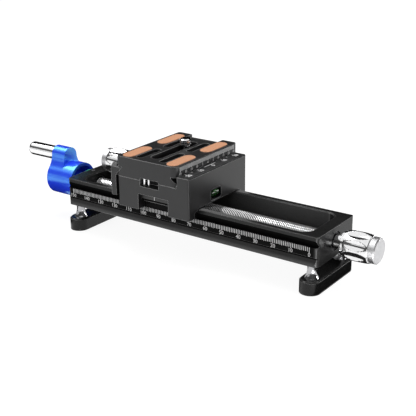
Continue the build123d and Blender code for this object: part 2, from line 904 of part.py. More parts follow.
def slot_retainer():
    top = web_bottom - running_gap
    ring = rod_z(stud_head_radius, top - retainer_thickness, top, plate_x, stud_y)
    return ring - rod_z(quarter_inch / 2 + running_gap, top - retainer_thickness, top, plate_x, stud_y)


def camera_screw():
    head_top = web_bottom - 2 * running_gap - retainer_thickness
    head_bottom = head_top - stud_head_height
    screw = rod_z(stud_head_radius, head_bottom, head_top, plate_x, stud_y)
    screw += rod_z(stud_neck_radius, head_top, plate_top, plate_x, stud_y)
    stud = rod_z(quarter_inch / 2, plate_top, stud_top, plate_x, stud_y)
    screw += chamfer(stud.edges().filter_by(GeomType.CIRCLE).sort_by(Axis.Z)[-1], stud_chamfer)
    across = (plate_x - stud_head_radius, plate_x + stud_head_radius)
    stud_slot = (stud_y - stud_slot_width / 2, stud_y + stud_slot_width / 2)
    screw -= slab(across, stud_slot, (stud_top - stud_slot_depth, stud_top))
    head_slot = (stud_y - stud_head_slot / 2, stud_y + stud_head_slot / 2)
    return screw - slab(across, head_slot, (head_bottom, head_bottom + stud_head_slot))


def build_nodes():
    return {
        "rail_body": rail_body(),
        "left_bearing_bush": left_bearing_bush(),
        "right_bearing_bush": right_bearing_bush(),
        "bearing_set_screw": bearing_set_screw(),
        "left_foot": foot(-1),
        "right_foot": foot(1),
        "left_foot_pillars": Compound([pillar(x, y) for x, y in foot_places(-1)]),
        "right_foot_pillars": Compound([pillar(x, y) for x, y in foot_places(1)]),
        "foot_screws": Compound([foot_screw(x, y) for x, y in foot_places()]),
        "lead_screw": lead_screw(),
        "thrust_washer": thrust_washer(),
        "lock_nut": lock_nut(),
        "crank_arm": crank_arm(),
        "crank_set_screw": crank_set_screw(),
        "handle_axle": handle_axle(),
        "crank_handle": crank_handle(),
        "focus_knob": focus_knob(),
        "focus_knob_cap": focus_knob_cap(),
        "carriage_block": carriage_block(),
        "index_plate": index_plate(),
        "level_bezel": level_bezel(),
        "level_vial": level_vial(),
        "front_gib": gib(-1),
        "rear_gib": gib(1),
        "gib_screws": Compound([gib_screw(x) for x in gib_screw_places()]),
        "drive_nut": drive_nut(),
        "nut_screws": Compound([nut_screw(x, y) for x, y in nut_screw_places()]),
        "stop_pins": Compound([stop_pin(x, y, r) for x, y, r in stop_pin_spots()]),
        "jaw_guide_pins": Compound([jaw_guide_pin(y) for y in (-guide_pin_y, guide_pin_y)]),
        "clamp_jaw": clamp_jaw(),
        "clamp_screw": clamp_screw(),
        "clamp_washer": clamp_washer(),
        "clamp_clip": clamp_clip(),
        "clamp_knob": clamp_knob(),
        "clamp_knob_cap": clamp_knob_cap(),
        "quick_release_plate": quick_release_plate(),
        "front_left_pad": grip_pad(*pad_places()[0]),
        "back_left_pad": grip_pad(*pad_places()[1]),
        "front_right_pad": grip_pad(*pad_places()[2]),
        "back_right_pad": grip_pad(*pad_places()[3]),
        "slot_retainer": slot_retainer(),
        "camera_screw": camera_screw(),
    }


os.makedirs("parts", exist_ok=True)
for name, shape in build_nodes().items():
    export_step(shape, f"parts/{name}.step")
    print(name, round(shape.volume, 1))
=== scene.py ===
import bmesh
import bpy
import math
from mathutils import Matrix, Vector


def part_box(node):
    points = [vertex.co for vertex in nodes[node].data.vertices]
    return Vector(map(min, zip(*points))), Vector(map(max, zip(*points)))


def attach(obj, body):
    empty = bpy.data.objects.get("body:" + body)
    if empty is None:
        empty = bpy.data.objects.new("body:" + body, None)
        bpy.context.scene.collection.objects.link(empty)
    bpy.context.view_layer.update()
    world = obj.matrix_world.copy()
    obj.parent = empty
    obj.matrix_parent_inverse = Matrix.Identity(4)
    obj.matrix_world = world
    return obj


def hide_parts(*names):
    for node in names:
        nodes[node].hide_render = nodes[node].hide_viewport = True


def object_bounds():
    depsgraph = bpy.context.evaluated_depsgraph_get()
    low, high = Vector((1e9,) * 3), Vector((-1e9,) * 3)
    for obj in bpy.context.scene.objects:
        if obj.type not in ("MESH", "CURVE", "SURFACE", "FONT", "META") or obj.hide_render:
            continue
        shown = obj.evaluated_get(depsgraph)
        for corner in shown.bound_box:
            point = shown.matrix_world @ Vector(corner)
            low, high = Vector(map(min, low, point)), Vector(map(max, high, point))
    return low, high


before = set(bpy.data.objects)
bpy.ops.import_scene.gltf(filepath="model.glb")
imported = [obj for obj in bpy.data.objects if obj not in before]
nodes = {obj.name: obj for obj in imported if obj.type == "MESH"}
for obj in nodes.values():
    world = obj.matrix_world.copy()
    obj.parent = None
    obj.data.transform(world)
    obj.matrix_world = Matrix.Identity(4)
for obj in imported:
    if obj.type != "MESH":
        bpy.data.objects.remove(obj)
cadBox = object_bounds()
mm = 0.001
print("frame loaded,", len(nodes), "nodes")


# ways to write materials, with depths, edges and places in millimetres

def grey(shade):
    return (shade, shade, shade)


def newMaterial(name, colour, roughness, metallic=0.0):
    material = bpy.data.materials.new(name)
    material.use_nodes = True
    shader = material.node_tree.nodes["Principled BSDF"]
    shader.inputs["Base Color"].default_value = (*colour, 1)
    shader.inputs["Roughness"].default_value = roughness
    shader.inputs["Metallic"].default_value = metallic
    return material, shader


def addNode(owner, kind, **values):
    # the owner is a material or the world
    node = owner.node_tree.nodes.new(kind)
    for key, value in values.items():
        if key in node.inputs:
            node.inputs[key].default_value = value
        else:
            setattr(node, key, value)
    return node


def link(owner, source, output, target, socket):
    owner.node_tree.links.new(source.outputs[output], target.inputs[socket])


def mapRange(owner, source, output, given, wanted):
    # turns the first span into the second and holds it at both ends
    node = addNode(owner, "ShaderNodeMapRange")
    for socket, value in zip(("From Min", "From Max", "To Min", "To Max"), (*given, *wanted)):
        node.inputs[socket].default_value = value
    link(owner, source, output, node, "Value")
    return node


def objectNoise(material, scale, detail, stretch=(1, 1, 1)):
    coords = addNode(material, "ShaderNodeTexCoord")
    shape = addNode(material, "ShaderNodeMapping", Scale=stretch)
    noise = addNode(material, "ShaderNodeTexNoise", Scale=scale, Detail=detail)
    link(material, coords, "Object", shape, "Vector")
    link(material, shape, "Vector", noise, "Vector")
    return noise


def varyColour(material, shader, source, output, dark, light, low=0.35, high=0.65):
    # a ramp from dark to light between two values of the source
    mix = addNode(material, "ShaderNodeValToRGB")
    for element, spot, colour in zip(mix.color_ramp.elements, (low, high), (dark, light)):
        element.position = spot
        element.color = (*colour, 1)
    link(material, source, output, mix, "Fac")
    link(material, mix, "Color", shader, "Base Color")


noiseSpan = (0.3, 0.7)      # nearly all of a noise lies in here


def varyRoughness(material, shader, noise, low, high):
    spread = mapRange(material, noise, "Fac", noiseSpan, (low, high))
    link(material, spread, "Result", shader, "Roughness")


def addBump(material, shader, noise, strength, depth, edge=0.0):
    # grain over an edge that is rounded off
    bump = addNode(material, "ShaderNodeBump", Strength=strength, Distance=depth * mm)
    link(material, noise, "Fac", bump, "Height")
    if edge:
        rounding = addNode(material, "ShaderNodeBevel", samples=6, Radius=edge * mm)
        link(material, rounding, "Normal", bump, "Normal")
    link(material, bump, "Normal", shader, "Normal")


def paintOver(material, shader, colour, mask, output):
    # lays a colour over the base colour where the mask is 1
    base = shader.inputs["Base Color"].links[0].from_socket
    mix = addNode(material, "ShaderNodeMixRGB")
    mix.inputs["Color2"].default_value = (*colour, 1)
    link(material, mask, output, mix, "Fac")
    material.node_tree.links.new(base, mix.inputs["Color1"])
    link(material, mix, "Color", shader, "Base Color")


# how far the rounded normal and the true one agree, where a painted highlight line begins and where it is
# full
highlightSpan = (0.985, 0.80)


def brightEdges(material, shader, shade, edge):
    # painted highlight: a lighter grey laid into the colour along each edge, where the rounded normal turns
    # from the true one
    rounding = addNode(material, "ShaderNodeBevel", samples=8, Radius=edge * mm)
    face = addNode(material, "ShaderNodeNewGeometry")
    agree = addNode(material, "ShaderNodeVectorMath", operation="DOT_PRODUCT")
    link(material, rounding, "Normal", agree, 0)
    link(material, face, "Normal", agree, 1)
    line = mapRange(material, agree, "Value", highlightSpan, (0.0, 1.0))
    paintOver(material, shader, grey(shade), line, "Result")


def insideBox(material, low, high, soft):
    # 1 inside a box and 0 outside it, with soft edges
    coords = addNode(material, "ShaderNodeTexCoord")
    parts = addNode(material, "ShaderNodeSeparateXYZ")
    link(material, coords, "Object", parts, "Vector")
    inside = None
    for axis, start, end in zip("XYZ", low, high):
        for outer, inner in ((start - soft, start), (end + soft, end)):
            step = mapRange(material, parts, axis, (outer * mm, inner * mm), (0.0, 1.0))
            if inside is None:
                inside = step
                continue
            both = addNode(material, "ShaderNodeMath", operation="MULTIPLY")
            link(material, inside, 0, both, 0)
            link(material, step, 0, both, 1)
            inside = both
    return inside


# finishes of the rail

def anodised(name, dark, light, roughness, specular, edge, line, zones=()):
    material, shader = newMaterial(name, light, roughness)
    shader.inputs["Specular IOR Level"].default_value = specular
    cloud = objectNoise(material, scale=60, detail=3)
    varyColour(material, shader, cloud, "Fac", dark, light)
    # painted light: each patch lays its grey over the base colour
    for patch in zones:
        mask = insideBox(material, patch["low"], patch["high"], patch["soft"])
        paintOver(material, shader, grey(patch["shade"]), mask, 0)
    # painted highlight along the edges, in the grey given as line
    brightEdges(material, shader, line, edge)
    grain = objectNoise(material, scale=4500, detail=2)     # bead-blasted skin under the dye
    varyRoughness(material, shader, grain, roughness - 0.05, roughness + 0.08)
    addBump(material, shader, grain, strength=0.25, depth=0.01, edge=edge)
    return material


def blueAnodised(name, dark, light, gleam, ior, roughness):
    material, shader = newMaterial(name, light, roughness)
    shader.inputs["IOR"].default_value = ior
    shader.inputs["Specular IOR Level"].default_value = 1.0
    shader.inputs["Specular Tint"].default_value = (*gleam, 1)
    cloud = objectNoise(material, scale=80, detail=3)
    varyColour(material, shader, cloud, "Fac", dark, light)
    lathe = objectNoise(material, scale=500, detail=2, stretch=(12, 1, 1))      # faint turning marks
    varyRoughness(material, shader, lathe, roughness - 0.04, roughness + 0.06)
    addBump(material, shader, lathe, strength=0.06, depth=0.01, edge=0.3)
    return material


def polished(name, colour, roughness, edge=0.25, metallic=1.0):
    material, shader = newMaterial(name, colour, roughness, metallic)
    smear = objectNoise(material, scale=900, detail=3)
    varyRoughness(material, shader, smear, roughness * 0.6, roughness * 1.5)
    varyColour(material, shader, smear, "Fac", tuple(part * 0.93 for part in colour), colour)
    addBump(material, shader, smear, strength=0.03, depth=0.01, edge=edge)
    return material


def threadSteel(name, root, crest, roughness, metallic, axis, centre, radii):
    # painted shade in the thread roots: dark roots and bright crests, by the distance from the screw's axis
    material, shader = newMaterial(name, crest, roughness, metallic)
    coords = addNode(material, "ShaderNodeTexCoord")
    away = addNode(material, "ShaderNodeVectorMath", operation="SUBTRACT")
    away.inputs[1].default_value = Vector(centre) * mm
    flat = addNode(material, "ShaderNodeVectorMath", operation="MULTIPLY")
    flat.inputs[1].default_value = [0 if letter == axis else 1 for letter in "xyz"]
    reach = addNode(material, "ShaderNodeVectorMath", operation="LENGTH")
    link(material, coords, "Object", away, 0)
    link(material, away, "Vector", flat, 0)
    link(material, flat, "Vector", reach, 0)
    rise = mapRange(material, reach, "Value", (radii[0] * mm, radii[1] * mm), (0.0, 1.0))
    varyColour(material, shader, rise, "Result", root, crest, low=0.1, high=0.85)
    smear = objectNoise(material, scale=900, detail=3)
    varyRoughness(material, shader, smear, roughness * 0.7, roughness * 1.4)
    addBump(material, shader, smear, strength=0.03, depth=0.01)
    return material


def turned(name, dark, light, roughness, stretch=(40, 1, 1)):
    material, shader = newMaterial(name, light, roughness, metallic=1.0)
    rings = objectNoise(material, scale=700, detail=2, stretch=stretch)     # fine marks left by the lathe
    varyColour(material, shader, rings, "Fac", dark, light)
    varyRoughness(material, shader, rings, roughness - 0.06, roughness + 0.1)
    addBump(material, shader, rings, strength=0.15, depth=0.01, edge=0.2)
    return material


def plastic(name, dark, light, roughness, coat=0.0, specular=0.5):
    material, shader = newMaterial(name, light, roughness)
    shader.inputs["Coat Weight"].default_value = coat
    shader.inputs["Specular IOR Level"].default_value = specular
    mottle = objectNoise(material, scale=300, detail=4)
    varyColour(material, shader, mottle, "Fac", dark, light)
    varyRoughness(material, shader, mottle, roughness - 0.05, roughness + 0.05)
    addBump(material, shader, mottle, strength=0.05, depth=0.01)
    return material


def rubber(name, dark, light, roughness):
    material, shader = newMaterial(name, light, roughness)
    shader.inputs["Specular IOR Level"].default_value = 0.2
    speckle = objectNoise(material, scale=2600, detail=3)
    varyColour(material, shader, speckle, "Fac", dark, light, *noiseSpan)
    varyRoughness(material, shader, speckle, roughness, roughness + 0.1)
    addBump(material, shader, speckle, strength=0.5, depth=0.04)
    return material


# painted light in the rail's black: the pocket's long walls lightened where little light reaches them, and a
# painted highlight along the foot of each flange
railPaintedLight = (
    {"shade": 0.17, "low": (-67.5, 13.9, 4.2), "high": (67.5, 14.8, 14.9), "soft": 0.25},
    {"shade": 0.17, "low": (-67.5, -14.8, 4.2), "high": (67.5, -13.9, 14.9), "soft": 0.25},
    {"shade": 0.06, "low": (-78.6, -19.2, 0.6), "high": (78.6, -18.3, 0.9), "soft": 1.6},
    {"shade": 0.06, "low": (-78.6, 18.3, 0.6), "high": (78.6, 19.2, 0.9), "soft": 1.6},
)

# the way each finish is made, and its settings; line is the grey of the painted edge highlight
finishSettings = {
    "blockBlack": (anodised, {"dark": (0.010, 0.010, 0.0105), "light": (0.014, 0.014, 0.0145),
                              "roughness": 0.36, "specular": 0.52, "edge": 0.45, "line": 0.42}),
    "railBlack": (anodised, {"dark": grey(0.010), "light": grey(0.014), "roughness": 0.3,
                             "specular": 0.26, "edge": 0.35, "line": 0.3, "zones": railPaintedLight}),
    "footBlack": (anodised, {"dark": grey(0.006), "light": grey(0.009), "roughness": 0.28,
                             "specular": 0.3, "edge": 0.4, "line": 0.34}),
    "bandBlack": (plastic, {"dark": grey(0.003), "light": grey(0.006), "roughness": 0.7, "specular": 0.05}),
    # black for skins painted as shade, in the ways, the grooves and the index window
    "wayBlack": (plastic, {"dark": grey(0.001), "light": grey(0.002), "roughness": 0.8, "specular": 0.04}),
    "crankBlue": (blueAnodised, {"dark": (0.018, 0.052, 0.86), "light": (0.024, 0.068, 1.0),
                                 "gleam": (0.28, 0.95, 1.0),    # the tint of its highlights
                                 "ior": 2.0, "roughness": 0.2}),
    "polishedSteel": (polished, {"colour": (0.95, 0.95, 0.955), "roughness": 0.07}),
    "knobSteel": (polished, {"colour": (0.86, 0.86, 0.865), "roughness": 0.07, "edge": 0.2,
                             "metallic": 0.98}),
    "pillarSteel": (polished, {"colour": (0.46, 0.46, 0.47), "roughness": 0.12}),
    # the screws' roots are darker, as painted shade
    "leadThread": (threadSteel, {"root": grey(0.22), "crest": (0.97, 0.97, 0.975), "roughness": 0.16,
                                 "metallic": 0.85, "axis": "x", "centre": (0.0, 0.0, 7.7),
                                 "radii": (3.3, 4.0)}),
    "studThread": (threadSteel, {"root": grey(0.10), "crest": (0.95, 0.95, 0.955), "roughness": 0.12,
                                 "metallic": 1.0, "axis": "z", "centre": (-16.75, 8.3, 0.0),
                                 "radii": (2.4, 2.9)}),
    "satinSteel": (turned, {"dark": (0.42, 0.42, 0.44), "light": (0.62, 0.62, 0.64), "roughness": 0.32}),
    "darkSteel": (turned, {"dark": (0.03, 0.03, 0.033), "light": (0.06, 0.06, 0.065), "roughness": 0.38}),
    "capGrey": (turned, {"dark": (0.56, 0.56, 0.57), "light": (0.64, 0.64, 0.65), "roughness": 0.4,
                         "stretch": (1, 1, 1)}),
    "turnedBrass": (turned, {"dark": (0.55, 0.38, 0.14), "light": (0.75, 0.56, 0.26), "roughness": 0.3}),
    "gibPlastic": (plastic, {"dark": grey(0.003), "light": grey(0.006), "roughness": 0.6, "specular": 0.05}),
    "indexBlack": (plastic, {"dark": grey(0.028), "light": grey(0.042), "roughness": 0.5}),
    "greenWasher": (plastic, {"dark": (0.01, 0.40, 0.19), "light": (0.03, 0.56, 0.28), "roughness": 0.3,
                              "coat": 0.3}),
    "levelGreen": (plastic, {"dark": (0.003, 0.020, 0.004), "light": (0.007, 0.060, 0.007), "roughness": 0.12,
                             "coat": 0.3}),
    "levelBubble": (plastic, {"dark": (0.04, 0.13, 0.035), "light": (0.06, 0.20, 0.05), "roughness": 0.1,
                              "coat": 0.4}),
    "markWhite": (plastic, {"dark": grey(0.66), "light": grey(0.78), "roughness": 0.6}),
    "padRubber": (rubber, {"dark": (0.52, 0.25, 0.14), "light": (0.68, 0.35, 0.205), "roughness": 0.75}),
}

finishes = {name: make(name, **settings) for name, (make, settings) in finishSettings.items()}

nodeFinish = {
    "blockBlack": ["carriage_block", "clamp_jaw", "quick_release_plate"],
    "railBlack": ["rail_body"],
    "footBlack": ["left_foot", "right_foot"],
    "crankBlue": ["crank_arm"],
    "polishedSteel": ["lead_screw", "crank_handle", "camera_screw", "stop_pins"],
    "knobSteel": ["focus_knob", "clamp_knob"],
    "pillarSteel": ["left_foot_pillars", "right_foot_pillars"],
    "satinSteel": ["bearing_set_screw", "lock_nut", "jaw_guide_pins", "clamp_screw", "clamp_washer"],
    "darkSteel": ["left_bearing_bush", "right_bearing_bush", "foot_screws", "crank_set_screw",
                  "handle_axle", "gib_screws", "nut_screws", "clamp_clip", "level_bezel"],
    "capGrey": ["focus_knob_cap", "clamp_knob_cap"],
    "turnedBrass": ["drive_nut"],
    "gibPlastic": ["front_gib", "rear_gib", "slot_retainer"],
    "indexBlack": ["index_plate"],
    "greenWasher": ["thrust_washer"],
    "levelGreen": ["level_vial"],
    "padRubber": ["front_left_pad", "back_left_pad", "front_right_pad", "back_right_pad"],
}

for finish, names in nodeFinish.items():
    for name in names:
        for slot in nodes[name].material_slots:
            slot.material = finishes[finish]
print("finishes on", sum(len(names) for names in nodeFinish.values()), "nodes")


# ways to build pieces, all in millimetres until the mesh is made

weld = 0.0005           # points of a finished piece that are nearer than this become one
samePoint = 1e-6        # and so do those of a ring that has shrunk to the axis
threadWeld = 1e-5


def finishPiece(name, build, finish, body, smooth=30):
    # turns a bmesh in millimetres into a piece that rides on its body, smooth below an angle in degrees
    bmesh.ops.remove_doubles(build, verts=build.verts, dist=weld)
    bmesh.ops.recalc_face_normals(build, faces=build.faces)
    bmesh.ops.scale(build, vec=(mm, mm, mm), verts=build.verts)
    mesh = bpy.data.meshes.new(name)
    build.to_mesh(mesh)
    build.free()
    piece = bpy.data.objects.new(name, mesh)
    bpy.context.scene.collection.objects.link(piece)
    mesh.materials.append(finishes[finish])
    mesh.shade_smooth()
    mesh.set_sharp_from_angle(angle=math.radians(smooth))
    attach(piece, body)
    return piece


def aroundAxis(axis, along, radius, angle, centre):
    # a point round the axis x, y or z, which passes through the centre
    first, second = radius * math.cos(angle), radius * math.sin(angle)
    spot = [centre[0] + first, centre[1] + second]
    spot.insert("xyz".index(axis), along)
    return Vector(spot)


def joinRings(build, rings):
    # bands of faces from each closed ring of points to the next
    for low, high in zip(rings, rings[1:]):
        for i in range(len(low)):
            j = (i + 1) % len(low)
            build.faces.new((low[i], low[j], high[j], high[i]))


def addLathe(build, profile, axis, centre, steps=48):
    # a closed solid of revolution from (along, radius) points, both ends on the axis
    rings = [[build.verts.new(aroundAxis(axis, along, radius, 2 * math.pi * i / steps, centre))
              for i in range(steps)] for along, radius in profile]
    joinRings(build, rings)
    bmesh.ops.remove_doubles(build, verts=rings[0] + rings[-1], dist=samePoint)


def addBox(build, low, high):
    corners = [build.verts.new((x, y, z)) for x in (low[0], high[0])
               for y in (low[1], high[1]) for z in (low[2], high[2])]
    for face in ((0, 1, 3, 2), (4, 6, 7, 5), (0, 4, 5, 1), (2, 3, 7, 6), (0, 2, 6, 4), (1, 5, 7, 3)):
        build.faces.new([corners[i] for i in face])


# shares of one pitch: the crest's flat from and to, and the root's flat from and to
threadShares = (0.0, 0.3, 0.5, 0.8)


def addThread(build, settings, axis, centre):
    # a right-handed thread as one closed solid, its crest and root flats joined by flanks
    start, end, pitch = settings["start"], settings["end"], settings["pitch"]
    crest, root, steps = settings["crest"], settings["root"], settings["steps"]
    tip = crest - settings["chamfer"]
    profile = list(zip(threadShares, (crest, crest, root, root)))
    turns = int((end - start) / pitch) + 2
    rows = []
    for turn in range(-1, turns + 1):
        for share, radius in profile:
            row = []
            for i in range(steps):
                along = start + (turn + share + i / steps) * pitch
                clear = min(radius, tip + max(0.0, min(along - start, end - along)))
                if along <= start or along >= end:
                    clear = min(root, tip)
                along = min(max(along, start), end)
                row.append(build.verts.new(aroundAxis(axis, along, clear, 2 * math.pi * i / steps, centre)))
            rows.append(row)
    turnRows = len(profile)         # after a whole turn a row meets the one this many further on
    for j in range(len(rows) - turnRows - 1):
        for i in range(steps - 1):
            build.faces.new((rows[j][i], rows[j][i + 1], rows[j + 1][i + 1], rows[j + 1][i]))
        build.faces.new((rows[j][-1], rows[j + turnRows][0], rows[j + turnRows + 1][0], rows[j + 1][-1]))
    bmesh.ops.remove_doubles(build, verts=build.verts, dist=threadWeld)
    bmesh.ops.dissolve_degenerate(build, edges=build.edges, dist=threadWeld)
    loose = [vert for vert in build.verts if not vert.link_faces]
    bmesh.ops.delete(build, geom=loose, context="VERTS")
    openEdges = [edge for edge in build.edges if edge.is_boundary]
    bmesh.ops.holes_fill(build, edges=openEdges, sides=0)


def addText(build, words, height, centre, right, up, depth, bold=0.0):
    # raised characters about depth millimetres thick, centred on a point, in the plane of right and up
    data = bpy.data.curves.new("numeral", "FONT")
    data.body = words
    data.size = 1
    data.extrude = 0.5
    data.resolution_u = 3
    data.offset = bold
    text = bpy.data.objects.new("numeral", data)
    bpy.context.scene.collection.objects.link(text)
    bpy.context.view_layer.update()
    mesh = bpy.data.meshes.new_from_object(text)
    low = [min(vert.co[i] for vert in mesh.vertices) for i in range(2)]
    high = [max(vert.co[i] for vert in mesh.vertices) for i in range(2)]
    middle = [(low[i] + high[i]) / 2 for i in range(2)]
    size = height / (high[1] - low[1])
    right, up = Vector(right), Vector(up)
    out = right.cross(up)
    corners = [build.verts.new(Vector(centre) + right * (vert.co.x - middle[0]) * size
                               + up * (vert.co.y - middle[1]) * size + out * vert.co.z * depth)
               for vert in mesh.vertices]
    for polygon in mesh.polygons:
        try:
            build.faces.new([corners[i] for i in polygon.vertices])
        except ValueError:      # the same face again
            pass
    bpy.data.objects.remove(text)
    bpy.data.curves.remove(data)
    bpy.data.meshes.remove(mesh)


def cutSlot(name, build, low, high):
    # takes a box out of a closed solid and gives the cut solid back
    cutter = bmesh.new()
    addBox(cutter, low, high)
    items = []
    for itemName, solid in ((name, build), (name + "Cutter", cutter)):
        bmesh.ops.recalc_face_normals(solid, faces=solid.faces)
        mesh = bpy.data.meshes.new(itemName)
        solid.to_mesh(mesh)
        solid.free()
        items.append(bpy.data.objects.new(itemName, mesh))
        bpy.context.scene.collection.objects.link(items[-1])
    body, tool = items
    cut = body.modifiers.new("slot", "BOOLEAN")
    cut.operation = "DIFFERENCE"
    cut.solver = "EXACT"
    cut.object = tool
    bpy.context.view_layer.update()
    done = bpy.data.meshes.new_from_object(body.evaluated_get(bpy.context.evaluated_depsgraph_get()))
    result = bmesh.new()
    result.from_mesh(done)
    for item in items:
        bpy.data.objects.remove(item)
    return result


def millimetres(node):
    low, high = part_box(node)
    return low / mm, high / mm


# the lead screw, a plain bar in the frame, with its thread

leadScrew = {
    "start": -72.1,
    "end": 72.0,
    "pitch": 1.0,
    "crest": 4.0,
    "root": 3.3,
    "chamfer": 0.6,
    "steps": 28,
    "journal": 3.0,         # radius of the plain ends
    "journalEdge": 0.4,
}


def makeLeadScrew(settings):
    low, high = millimetres("lead_screw")
    centre = ((low.y + high.y) / 2, (low.z + high.z) / 2)
    build = bmesh.new()
    addThread(build, settings, "x", centre)
    journal, edge = settings["journal"], settings["journalEdge"]
    addLathe(build, [(low.x, 0), (low.x, journal - edge), (low.x + edge, journal),
                     (high.x - edge, journal), (high.x, journal - edge), (high.x, 0)], "x", centre)
    piece = finishPiece("leadScrewThreaded", build, "leadThread", "drive", smooth=25)
    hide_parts("lead_screw")


makeLeadScrew(leadScrew)


# the camera screw: threaded stud, neck and slotted head

cameraScrew = {
    "pitch": 1.27,
    "crest": 3.175,
    "root": 2.6,
    "chamfer": 0.7,
    "steps": 40,
    "plateTop": 37.7,
    "neck": 2.5,            # its radius
    "neckRise": 0.3,        # how far it stands into the stud
    "headHeight": 3.0,
    "headEdge": 0.4,
    "slotWidth": 1.1,       # of the stud's slot
    "slotDepth": 1.3,
    "headSlot": 1.4,        # width and depth of the head's slot
    "past": 1.0,            # the cutters reach this far past the solid
}


def makeCameraScrew(settings):
    low, high = millimetres("camera_screw")
    x, y = (low.x + high.x) / 2, (low.y + high.y) / 2
    past, half = settings["past"], settings["slotWidth"] / 2
    stud = bmesh.new()
    addThread(stud, {**settings, "start": settings["plateTop"], "end": high.z}, "z", (x, y))
    stud = cutSlot("stud", stud, (low.x, y - half, high.z - settings["slotDepth"]),
                   (high.x, y + half, high.z + past))
    edge, neck, headSlot = settings["headEdge"], settings["neck"], settings["headSlot"]
    radius, neckTop = (high.x - low.x) / 2, settings["plateTop"] + settings["neckRise"]
    headTop = low.z + settings["headHeight"]
    head = bmesh.new()
    addLathe(head, [(low.z, 0), (low.z, radius - edge), (low.z + edge, radius),
                    (headTop - edge, radius), (headTop, radius - edge), (headTop, neck),
                    (neckTop, neck), (neckTop, 0)], "z", (x, y))
    head = cutSlot("head", head, (low.x - past, y - headSlot / 2, low.z - past),
                   (high.x + past, y + headSlot / 2, low.z + headSlot))
    joined = bpy.data.meshes.new("cameraScrewHead")
    head.to_mesh(joined)
    head.free()
    stud.from_mesh(joined)
    piece = finishPiece("cameraScrewThreaded", stud, "studThread", "camera_screw", smooth=25)
    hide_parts("camera_screw")


makeCameraScrew(cameraScrew)
print("threads cut")


# the fluted knobs, their hollows drawn out to the whole barrel

knob = {
    "neckRadius": 3.8,
    "collar": 2.0,              # its length
    "collarRadius": 6.1,
    "barrel": 13.0,             # its length
    "endRadius": 6.9,
    "radius": 7.7,              # of the barrel's middle
    "edge": 0.25,               # breadth of the small chamfers
    "flutes": 8,
    "fluteSteps": 14,           # points round each flute
    "fluteWidth": 0.86,         # share of the room between two ridges, at the middle
    "fluteDepth": 1.05,
    "fluteMargin": 0.5,         # from the barrel's ends to the flutes' tips
    "sections": 36,             # along the barrel
}


def makeKnob(name, node, outward, body, settings):
    low, high = millimetres(node)
    centre = ((low.y + high.y) / 2, (low.z + high.z) / 2)
    start, end = (low.x, high.x) if outward > 0 else (high.x, low.x)
    edge, barrel, collar = settings["edge"], settings["barrel"], settings["collarRadius"]
    foot = end - outward * barrel
    neck = foot - outward * settings["collar"]
    # each section is its place, its radius and how much of the flutes' depth it has
    profile = [(start, 0, 0), (start, settings["neckRadius"], 0), (neck, settings["neckRadius"], 0),
               (neck, collar - edge, 0), (neck + outward * edge, collar, 0), (foot, collar, 0),
               (foot, settings["endRadius"] - edge, 0)]
    half, reach = barrel / 2, barrel / 2 - settings["fluteMargin"]
    swell = settings["radius"] - settings["endRadius"]
    for i in range(settings["sections"] + 1):
        along = -half + edge + (barrel - 2 * edge) * i / settings["sections"]
        share = max(0.0, 1 - (along / reach) ** 2)
        radius = settings["radius"] - swell * (along / half) ** 2
        profile.append((foot + outward * (along + half), radius, share))
    profile += [(end, settings["endRadius"] - edge, 0), (end, 0, 0)]
    flutes, steps = settings["flutes"], settings["fluteSteps"]
    build = bmesh.new()
    rings = []
    for x, radius, share in profile:
        width, depth = settings["fluteWidth"] * math.sqrt(share), settings["fluteDepth"] * share
        ring = []
        for i in range(flutes * steps):
            flute, point = divmod(i, steps)
            turn = point / steps * 2 - 1            # -1 at the ridge before the flute, 0 in its middle
            hollow = depth * max(0.0, 1 - (turn / width) ** 2) if width > 0 else 0.0
            angle = math.pi / 2 + math.pi / flutes * (2 * flute + 1 + turn)
            ring.append(build.verts.new(aroundAxis("x", x, radius - hollow, angle, centre)))
        rings.append(ring)
    joinRings(build, rings)
    bmesh.ops.remove_doubles(build, verts=rings[0] + rings[-1], dist=samePoint)
    piece = finishPiece(name, build, "knobSteel", body, smooth=22)
    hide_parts(node)


makeKnob("focusKnobFluted", "focus_knob", 1, "drive", knob)
makeKnob("clampKnobFluted", "clamp_knob", -1, "clamp_knob", knob)
print("knobs fluted")


# threads in the two tripod sockets under the rail

socketThreads = {
    "sockets": ((0.0, 3.175, 1.27), (-25.0, 4.7625, 1.5875)),   # place along the rail, radius, pitch
    "bottom": 0.0,
    "top": 3.4,
    "stand": 0.28,          # how far the crest stands into the hole
    "bury": 0.05,           # and how far the foot stands in the wall
    "feet": (0.0, 0.56),    # of the section, as shares of a pitch
    "crest": (0.22, 0.34),
    "steps": 40,
    "lead": 0.25,
    "room": 0.6,            # kept for the last turn's section, as a share of a pitch
    "runOut": 6,            # steps in which each end grows to its full height
}


def makeSocketThreads(settings):
    build = bmesh.new()
    steps, feet, crest = settings["steps"], settings["feet"], settings["crest"]
    for x, radius, pitch in settings["sockets"]:
        first = settings["bottom"] + settings["lead"]
        last = settings["top"] - settings["lead"] - settings["room"] * pitch
        count = int((last - first) / pitch * steps)
        sections = []
        for i in range(count + 1):
            grow = min(1.0, i / settings["runOut"], (count - i) / settings["runOut"])
            outer, inner = radius + settings["bury"], radius - settings["stand"] * grow
            outline = ((feet[0], outer), (crest[0], inner), (crest[1], inner), (feet[1], outer))
            sections.append([build.verts.new(aroundAxis("z", first + pitch * i / steps + share * pitch, reach,
                                                        2 * math.pi * i / steps, (x, 0.0)))
                             for share, reach in outline])
        joinRings(build, sections)
        build.faces.new(sections[0])
        build.faces.new(list(reversed(sections[-1])))
    piece = finishPiece("tripodSocketThreads", build, "railBlack", "base", smooth=25)


makeSocketThreads(socketThreads)


# the scale printed along the rail, on its matt band

